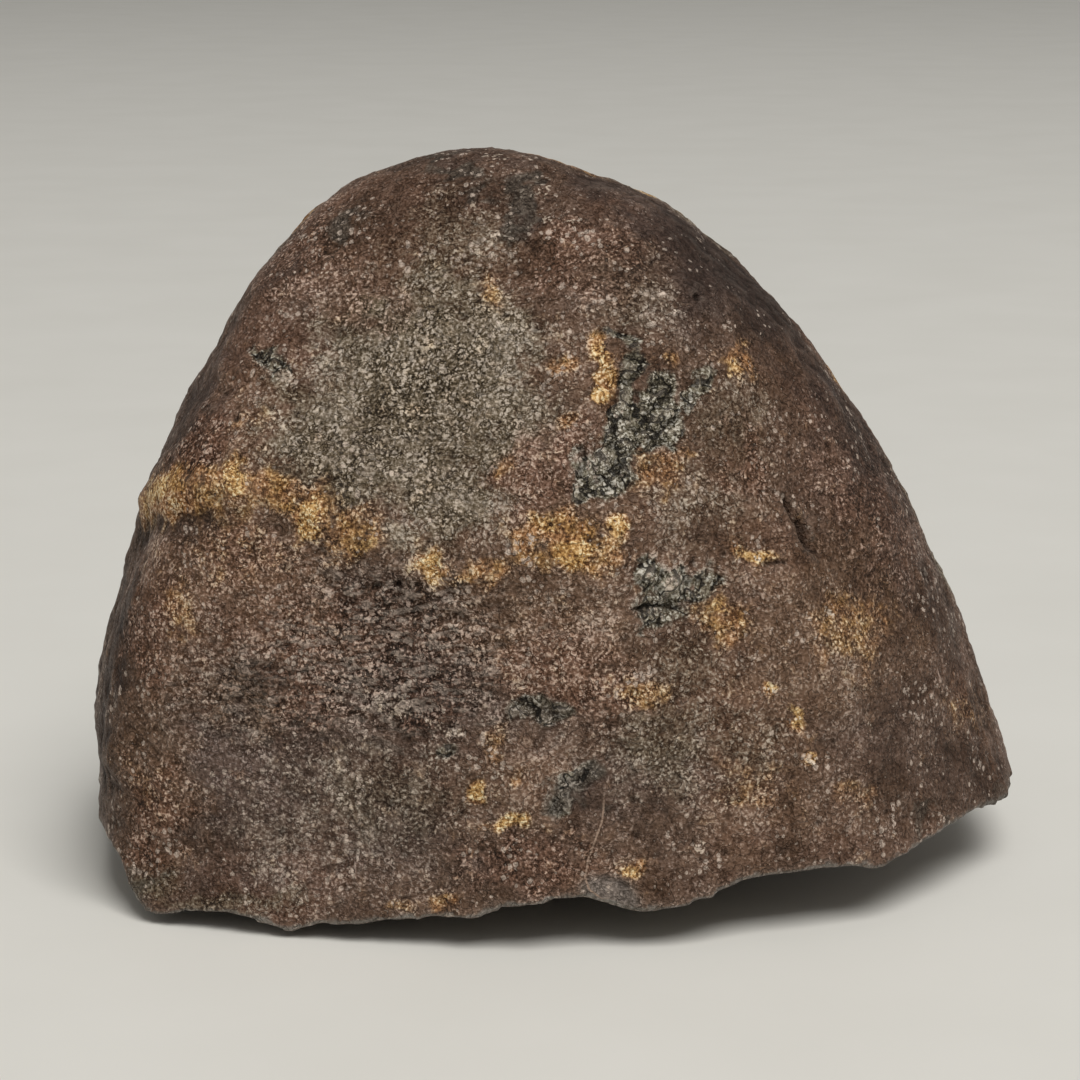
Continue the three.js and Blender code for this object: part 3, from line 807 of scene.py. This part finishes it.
# Painted highlight on the rises.
paint_layer(stone, "rise", np.maximum(fine / HOLLOW_DEPTH, wide / (3 * HOLLOW_DEPTH)) - 0.2)
print("hollows deeper than a tenth of a millimetre:", int((fine < -0.1 * MM).sum()), "points")

# %% [markdown]
# The rim of the break gets a pale grey line of painted highlight, and the broken face behind it is fresher
# and greyer than the outside. Both are found by how far the surface turns downwards.

# %% Rim and broken face
BROKEN_BELOW = (12 * MM, 16 * MM)

downwards = -normals[:, 2]
by_the_lip = 1 - smooth_step(distance_to_lip(places), 1.2 * MM, 2.5 * MM)
# Painted highlight along the rim of the break.
rim_highlight = smooth_step(downwards, 0.15, 0.32) * (1 - smooth_step(downwards, 0.7, 0.9)) * by_the_lip
paint_layer(stone, "rim_highlight", rim_highlight)
low_down = 1 - smooth_step(places[:, 2], *BROKEN_BELOW)
paint_layer(stone, "broken", smooth_step(downwards, 0.5, 0.8) * low_down)
print("rim:", int((rim_highlight > 0.5).sum()), "points")

# %% [markdown]
# ## The weathered surface
#
# The whole stone is one material. Seen close, it is a crowd of grains a third of a millimetre wide, each
# a little lighter or darker than the next, with a shine on those that were rubbed. So every colour is a
# ramp that runs from the dark between the grains to the light on them, and one grain pattern drives them
# all. The dark ends of the ramps are partly painted shade between the grains, and the light ends partly
# painted highlight, the glints on them. The helpers add their nodes to whatever node tree is named `tree`.

# %% A small kit for nodes
material = bpy.data.materials.new("weathered_chondrite")
material.use_nodes = True
tree = material.node_tree
tree.nodes.clear()


def srgb(red, green, blue):
    """A colour as a painter reads it, 0 to 255, turned into the light values that a shader takes."""
    parts = [part / 255 for part in (red, green, blue)]
    return [p / 12.92 if p < 0.04045 else ((p + 0.055) / 1.055) ** 2.4 for p in parts] + [1]


def feed(socket, value):
    """Links the socket to another node's output, or sets it to a plain value."""
    if isinstance(value, bpy.types.NodeSocket):
        tree.links.new(value, socket)
    else:
        socket.default_value = value


def node(kind, **settings):
    made = tree.nodes.new("ShaderNode" + kind)
    for setting, value in settings.items():
        setattr(made, setting, value)
    return made


def maths(operation, *values, clamp=False):
    made = node("Math", operation=operation, use_clamp=clamp)
    for socket, value in zip(made.inputs, values):
        feed(socket, value)
    return made.outputs[0]


def times(first, second):
    return maths("MULTIPLY", first, second)


def stretch_range(value, low, high, to_low=0.0, to_high=1.0, smooth=True):
    made = node("MapRange", interpolation_type="SMOOTHSTEP" if smooth else "LINEAR")
    for socket, part in zip(made.inputs, (value, low, high, to_low, to_high)):
        feed(socket, part)
    return made.outputs[0]


def moved(place, seed):
    """The same coordinates, shifted so that another part of a pattern is seen."""
    made = node("VectorMath", operation="ADD")
    feed(made.inputs[0], place)
    feed(made.inputs[1], (7.3 * seed, 3.1 * seed, 5.7 * seed))
    return made.outputs[0]


def speckle(size, detail=2.0, rough=0.5, seed=0.0, place=None):
    """Noise whose lumps are about size millimetres wide."""
    made = node("TexNoise")
    feed(made.inputs["Vector"], moved(place or mm, seed))
    for name, value in {"Scale": 1 / size, "Detail": detail, "Roughness": rough}.items():
        feed(made.inputs[name], value)
    return made.outputs["Fac"]


def granules(size, place):
    """Cells about size millimetres wide: the distance from each one's middle, and its own colour."""
    made = node("TexVoronoi")
    feed(made.inputs["Vector"], place)
    feed(made.inputs["Scale"], 1 / size)
    return made.outputs["Distance"], made.outputs["Color"]


def ramp(value, *stops):
    """Colours along a value from 0 to 1, evenly spaced."""
    made = node("ValToRGB")
    feed(made.inputs[0], value)
    elements = made.color_ramp.elements
    while len(elements) < len(stops):
        elements.new(0.5)
    for i, colour in enumerate(stops):
        elements[i].position = i / (len(stops) - 1)
        elements[i].color = srgb(*colour)
    return made.outputs[0]


def blend(first, second, share):
    made = node("Mix", data_type="RGBA")
    feed(made.inputs["Factor"], share)
    feed(made.inputs["A"], first)
    feed(made.inputs["B"], second)
    return made.outputs["Result"]


def over(ground, colour, mask, strength):
    """Lays a colour over the ground colour where the mask is, at most as thickly as the strength."""
    return blend(ground, colour, times(mask, strength))


def red_of(colour):
    made = node("SeparateColor")
    feed(made.inputs[0], colour)
    return made.outputs[0]


def painted(name):
    return node("Attribute", attribute_name=name).outputs["Fac"]


scaled = node("VectorMath", operation="SCALE")
feed(scaled.inputs[0], node("TexCoord").outputs["Object"])
scaled.inputs["Scale"].default_value = 1 / MM
mm = scaled.outputs[0]
print("pattern sizes are in millimetres")

# %% [markdown]
# The grain is made of lumps a third of a millimetre wide with thin dark creases round them. A noise gives
# both: where it passes through its middle value lies the crease, and on either side a lump swells. Longer
# cracks and the outlines of the crust's scales are creases of wider noises, so every line winds and breaks
# off as a natural one does. The grain is liveliest on the olive skin, the crust, the rust and the ledges.

# %% Grain and cracks
GRAIN = 0.62
FINE_GRAIN = 0.3

wrinkled = painted("wrinkled")
varnish_and_shade = painted("varnish_and_shade")
olive = painted("olive")
crust = painted("crust")
rust = painted("rust")
lively = maths("MAXIMUM", maths("MAXIMUM", olive, crust), maths("MAXIMUM", rust, wrinkled))


def either(plain, other, share):
    """One number where the share is 0, another where it is 1."""
    made = node("Mix")
    feed(made.inputs["Factor"], share)
    feed(made.inputs["A"], plain)
    feed(made.inputs["B"], other)
    return made.outputs["Result"]


def total(*weighted):
    """The sum of values, each given with its weight."""
    terms = [times(value, weight) for value, weight in weighted]
    sum_so_far = terms[0]
    for term in terms[1:]:
        sum_so_far = maths("ADD", sum_so_far, term)
    return sum_so_far


def from_crease(value):
    """How far a noise is from its middle value: 0 along thin winding lines, more on either side."""
    return maths("ABSOLUTE", maths("SUBTRACT", value, 0.5))


lumps = speckle(GRAIN, 2.0, 0.6)
swell = stretch_range(from_crease(lumps), 0.0, 0.12, smooth=False)
fine_grain = speckle(FINE_GRAIN, 1.0, 0.5, 3)
swell_strength = stretch_range(speckle(1.4, 0.0, seed=11), 0.35, 0.6, 0.3, 1.0)
swell_strength = times(swell_strength, either(0.62, 1.0, lively))
swell = times(maths("SUBTRACT", swell, 0.5), swell_strength)
raised = total((swell, 0.5), (fine_grain, 1.0))
grain = stretch_range(raised, 0.16, 0.87, smooth=False)
long_cracks = stretch_range(from_crease(speckle(1.5, 2.0, 0.55, 4)), 0.022, 0.0)
cracks = times(long_cracks, stretch_range(fine_grain, 0.34, 0.46))
print("grain:", GRAIN / 2, "mm")

# %% [markdown]
# Varnish fills the space between the grains, so where it lies the grain shows less, and on the crust, the
# ochre and the lively fields it shows more. The light and dim fields shift every colour along its ramp,
# and two wide noises keep even a plain field from looking flat.

# %% Grain in the colours
broad = speckle(14, 2, 0.5, 1)
patchy = speckle(4.5, 2, 0.5, 2)
tone = maths("ADD", times(broad, 0.5), times(patchy, 0.6))
contrast = either(either(either(0.64, 0.42, varnish_and_shade), 1.35, lively), 1.4, crust)
contrast = either(contrast, 1.35, painted("ochre"))
toned_grain = times(maths("SUBTRACT", grain, 0.5), contrast)
toned_grain = maths("ADD", toned_grain, times(maths("SUBTRACT", tone, 0.55), 0.9))
# Light and dim fields: the dim ones on the turned-away edges are painted shade, the bright one on the crust
# a painted highlight.
toned_grain = maths("ADD", toned_grain, stretch_range(painted("light"), 0.0, 1.0, 0.37, 0.73), clamp=True)

print("grain and contrast:", len(tree.nodes), "nodes")

# %% [markdown]
# Each pigment is a ramp of four colours, from the creases to the tops of the grains: the dark creases are
# partly painted shade and the light tops partly painted glints. Mixing from such ramps keeps the creases
# dark under every stain, which a flat colour laid on top would not do.

# %% Pigments
def pigment(*stops):
    return ramp(toned_grain, *stops)


brown = pigment((34, 21, 11), (70, 49, 34), (107, 85, 71), (190, 169, 156))
warm_brown = pigment((38, 22, 8), (82, 58, 36), (126, 98, 76), (196, 173, 150))
olive_grey = pigment((27, 19, 6), (89, 77, 56), (133, 121, 103), (186, 177, 162))
red_brown = pigment((37, 19, 9), (85, 55, 37), (128, 95, 77), (200, 172, 154))
dark_varnish_and_shade = pigment((25, 15, 11), (46, 32, 25), (74, 58, 50), (140, 124, 116))
yellow_ochre = pigment((76, 44, 12), (143, 101, 48), (203, 158, 98), (255, 232, 190))
orange_ochre = pigment((72, 38, 12), (135, 89, 47), (187, 139, 94), (244, 212, 176))
dark_crust = pigment((24, 20, 8), (91, 84, 66), (142, 135, 118), (206, 201, 188))
fresh_break = pigment((40, 34, 29), (80, 71, 62), (118, 108, 98), (176, 166, 152))
mauve_brown = pigment((33, 22, 15), (69, 54, 45), (103, 88, 81), (178, 163, 157))
dark_smudge = pigment((22, 18, 14), (49, 44, 37), (86, 79, 69), (152, 144, 132))
worn_grey_and_highlight = pigment((74, 70, 65), (110, 107, 101), (142, 139, 134), (178, 175, 170))
cream = pigment((104, 86, 72), (156, 138, 120), (204, 187, 168), (238, 222, 206))
golden = pigment((98, 64, 28), (170, 126, 70), (224, 182, 118), (255, 236, 190))
print("pigments:", sum(n.bl_idname == "ShaderNodeValToRGB" for n in tree.nodes))

# %% [markdown]
# The ground colour is a dark varnished brown. Olive grey, rust and ochre are laid over it. The masks are
# broken up by the grain, so a stain ends in separate grains and not in a soft airbrushed edge.

# %% Lay the colours
def stained(mask, sharpness=0.28, threshold=0.42, fray=0.55):
    """A painted mask with its edge broken into grains."""
    broken_up = maths("ADD", mask, times(maths("SUBTRACT", toned_grain, 0.45), fray))
    return stretch_range(broken_up, threshold - sharpness, threshold + sharpness)


colour = blend(brown, red_brown, stretch_range(broad, 0.44, 0.64, 0.0, 0.45))
colour = over(colour, mauve_brown, painted("mauve"), 0.75)
colour = over(colour, warm_brown, painted("wash"), 0.75)
colour = over(colour, olive_grey, stained(olive), 0.85)
colour = over(colour, red_brown, stained(rust), 0.75)
ochre_hue = blend(orange_ochre, yellow_ochre, stretch_range(speckle(2.2, 2, 0.5, 5), 0.4, 0.6))
ochre_noise = speckle(1.5, 2, 0.6, 10)
ochre_share = stained(total((painted("ochre"), 1.0), (ochre_noise, 1.1)), 0.45, 1.14, 0.5)
ochre_share = times(ochre_share, 0.9)
colour = blend(colour, ochre_hue, ochre_share)
colour = over(colour, golden, stained(painted("gold"), 0.25, 0.66, 0.6), 0.8)
crust_share = stained(crust, 0.32, 0.47, 0.4)
colour = blend(colour, dark_crust, crust_share)
# Dark varnish, partly painted shade under the brow and on the edges that turn away.
colour = over(colour, dark_varnish_and_shade, varnish_and_shade, 0.85)
colour = over(colour, dark_smudge, stained(painted("smudge"), 0.3, 0.55, 0.5), 0.75)
colour = over(colour, fresh_break, painted("broken"), 0.85)
colour = over(colour, worn_grey_and_highlight, painted("scar"), 0.55)
# Pale spots; those on the ledges and the crust are painted glints.
pale_grains_and_glints = total((painted("pale"), 0.5), (fine_grain, 0.6), (speckle(0.9, 1.0, seed=12), 0.6))
colour = over(colour, cream, stretch_range(pale_grains_and_glints, 0.98, 1.1), 0.85)
# The pale grey rim line is a painted highlight.
colour = over(colour, worn_grey_and_highlight, painted("rim_highlight"), 0.8)
print("colours laid with", len(tree.nodes), "nodes")

# %% [markdown]
# Here and there a grain shows pale: a chondrule or a crumb of clean mineral. Cells give each crumb its
# middle, and each cell's own random colour, with a wide noise, decides whether it holds a crumb and how
# large it is. So crumbs crowd in some places and are rare in others. The fine grain gnaws at their edges.
# On the wrinkled ledges, light streaks are drawn out sideways; they are painted glints on the ledges.

# %% Crumbs and chondrules
def crumbs(size, least, most, colour, onto, strength, seed):
    """Pale crumbs in some cells of a pattern whose cells are about size millimetres wide. Least is the
    value from which a cell holds one, and most is how large it may grow, as a part of its cell."""
    distance, cell = granules(size, moved(mm, seed))
    chosen = total((red_of(cell), 1.0), (crowd, 1.4))
    radius = stretch_range(chosen, least, least + 0.5, 0.0, most, smooth=False)
    uneven = total((distance, 1.0), (fine_grain, 0.9), (radius, -1.0))
    mask = stretch_range(uneven, 0.47, 0.34)
    return over(onto, srgb(*colour), times(mask, strength), half_worn)


crowd = total(
    (speckle(5.5, 1, 0.6, 9), 1.0), (painted("crumbly"), 0.12), (varnish_and_shade, -0.08), (painted("ochre"), -0.15),
)
half_worn = stretch_range(grain, 0.2, 0.55, 0.5, 1.0)
squeezed = node("Mapping")
feed(squeezed.inputs["Vector"], mm)
squeezed.inputs["Rotation"].default_value = (0, LEDGE_TURN, 0)
squeezed.inputs["Scale"].default_value = (0.4, 0.9, 1.25)
# Painted glints drawn out along the wrinkled ledges.
streaks = stretch_range(speckle(GRAIN, 2, 0.6, 8, place=squeezed.outputs[0]), 0.5, 0.6)
streaks = times(times(streaks, wrinkled), half_worn)
colour = over(colour, srgb(178, 163, 150), streaks, 0.55)
colour = crumbs(0.6, 1.36, 0.52, (216, 198, 182), colour, 0.65, 6)
colour = crumbs(1.1, 1.56, 0.42, (226, 208, 192), colour, 0.8, 7)
print("with crumbs and streaks:", len(tree.nodes), "nodes")

# %% [markdown]
# Hollows are darkened with painted shade, cracks and the outlines of the crust's scales are darkened, partly
# as painted shade, and rises get a little painted highlight, which helps the eye read the relief in soft
# light. The hairline is drawn last.

# %% Painted shade and highlight, and the hairline
leathery = maths("MAXIMUM", olive, crust)
# The dark outlines of the crust's scales: partly dark cracks, partly painted shade under the raised scales.
scale_edges = stretch_range(from_crease(speckle(1.9, 2.0, 0.5, 9)), 0.034, 0.01)
scale_edges = times(scale_edges, stretch_range(crust, 0.3, 0.5))
crack_depth = times(cracks, either(0.5, 0.95, leathery))
# Painted shade in the hollows, together with the darkened cracks.
hollow_shade = maths("MAXIMUM", painted("hollow_shade"), crack_depth)
colour = over(colour, srgb(16, 13, 9), scale_edges, 0.9)
colour = over(colour, srgb(19, 11, 4), hollow_shade, either(0.72, 0.45, wrinkled))
# Painted highlight on the rises, strongest on the crust.
colour = over(colour, srgb(186, 172, 158), painted("rise"), either(0.1, 0.2, crust))
hairline = stretch_range(from_crease(painted("hairline")), 0.035, 0.01)
hairline = times(hairline, painted("hairline strength"))
colour = over(colour, srgb(164, 140, 122), hairline, half_worn)
print("with shade:", len(tree.nodes), "nodes")

# %% [markdown]
# The shine is that of a stone that has been handled: satin on the grains, dull between them and in the
# stains, brightest on the scaly crust. The bump holds a quarter of a millimetre of grain, the hair-fine
# cracks and the outlines of the scales, and all that is larger is real relief.

# %% Shine and bump
GRAIN_HEIGHT = 0.24 * MM

roughness = stretch_range(toned_grain, 0.2, 0.9, 0.62, 0.36, smooth=False)
roughness = maths("ADD", roughness, times(ochre_share, 0.14))
roughness = maths("ADD", roughness, times(hollow_shade, 0.2))
roughness = maths("SUBTRACT", roughness, times(crust_share, 0.12), clamp=True)

bump = node("Bump")
bump.inputs["Strength"].default_value = 1.0
bump.inputs["Distance"].default_value = GRAIN_HEIGHT
feed(bump.inputs["Height"], total((raised, 1.0), (long_cracks, -0.4), (scale_edges, -0.8)))

surface = node("BsdfPrincipled")
feed(surface.inputs["Base Color"], colour)
feed(surface.inputs["Roughness"], roughness)
feed(surface.inputs["Normal"], bump.outputs[0])
surface.inputs["IOR"].default_value = 1.5
surface.inputs["Specular IOR Level"].default_value = 0.2
output = node("OutputMaterial")
feed(output.inputs["Surface"], surface.outputs[0])
stone.data.materials.append(material)
only(stone)
bpy.ops.object.shade_smooth()
print("material of", len(tree.nodes), "nodes")

# %% [markdown]
# ## The studio
#
# The stone stands on a pale table, faintly scuffed. A large soft lamp hangs high in front of it, so that
# the lip throws its shadow close under itself.

# %% Table
TABLE_RADIUS = 2.6
TABLE_SIDES = 96
SCUFFS_PER_METRE = 35

bpy.ops.mesh.primitive_circle_add(
    vertices=TABLE_SIDES, radius=TABLE_RADIUS, fill_type="NGON", location=(0, 0, 0),
)
floor = bpy.context.object
floor.name = "pale_table"
paint = bpy.data.materials.new("matt_table")
paint.use_nodes = True
tree = paint.node_tree
shader = tree.nodes["Principled BSDF"]
shader.inputs["Roughness"].default_value = 0.55
scuffs = node("TexNoise")
feed(scuffs.inputs["Vector"], node("TexCoord").outputs["Object"])
scuffs.inputs["Scale"].default_value = SCUFFS_PER_METRE
scuffs.inputs["Detail"].default_value = 4
feed(shader.inputs["Base Color"], ramp(scuffs.outputs["Fac"], (222, 221, 214), (231, 230, 224)))
floor.data.materials.append(paint)
print("table:", 2 * TABLE_RADIUS, "metres across")

# %% [markdown]
# The room itself gives an even glow from all sides, the lamp gives shape, and a much weaker one further
# out in front opens up the shadows a little.

# %% Lights
ROOM_GLOW = 0.24

world = bpy.data.worlds.new("pale_room")
bpy.context.scene.world = world
world.use_nodes = True
background = world.node_tree.nodes["Background"]
background.inputs["Color"].default_value = srgb(244, 242, 238)
background.inputs["Strength"].default_value = ROOM_GLOW


def soft_light(name, place, size, energy, warmth=(1, 1, 1)):
    """A square area light aimed at the middle of the stone."""
    bpy.ops.object.light_add(type="AREA", location=place)
    lamp = bpy.context.object
    lamp.name = name
    lamp.data.size = size
    lamp.data.energy = energy
    lamp.data.color = warmth
    aim = Vector((0, 0, cad_high.z / 2)) - Vector(place)
    lamp.rotation_euler = aim.to_track_quat("-Z", "Y").to_euler()


soft_light("lamp_above", (0.5, -1.2, 2.35), 1.5, 60, (1, 0.98, 0.96))
soft_light("fill_in_front", (-0.3, -2.0, 1.9), 1.4, 2)
bpy.context.scene.view_settings.view_transform = "Standard"

# %% [markdown]
# The finished skin takes the solid's place in the model and moves with its only body.

# %% Hand in
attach(stone, "root")
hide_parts("meteorite")
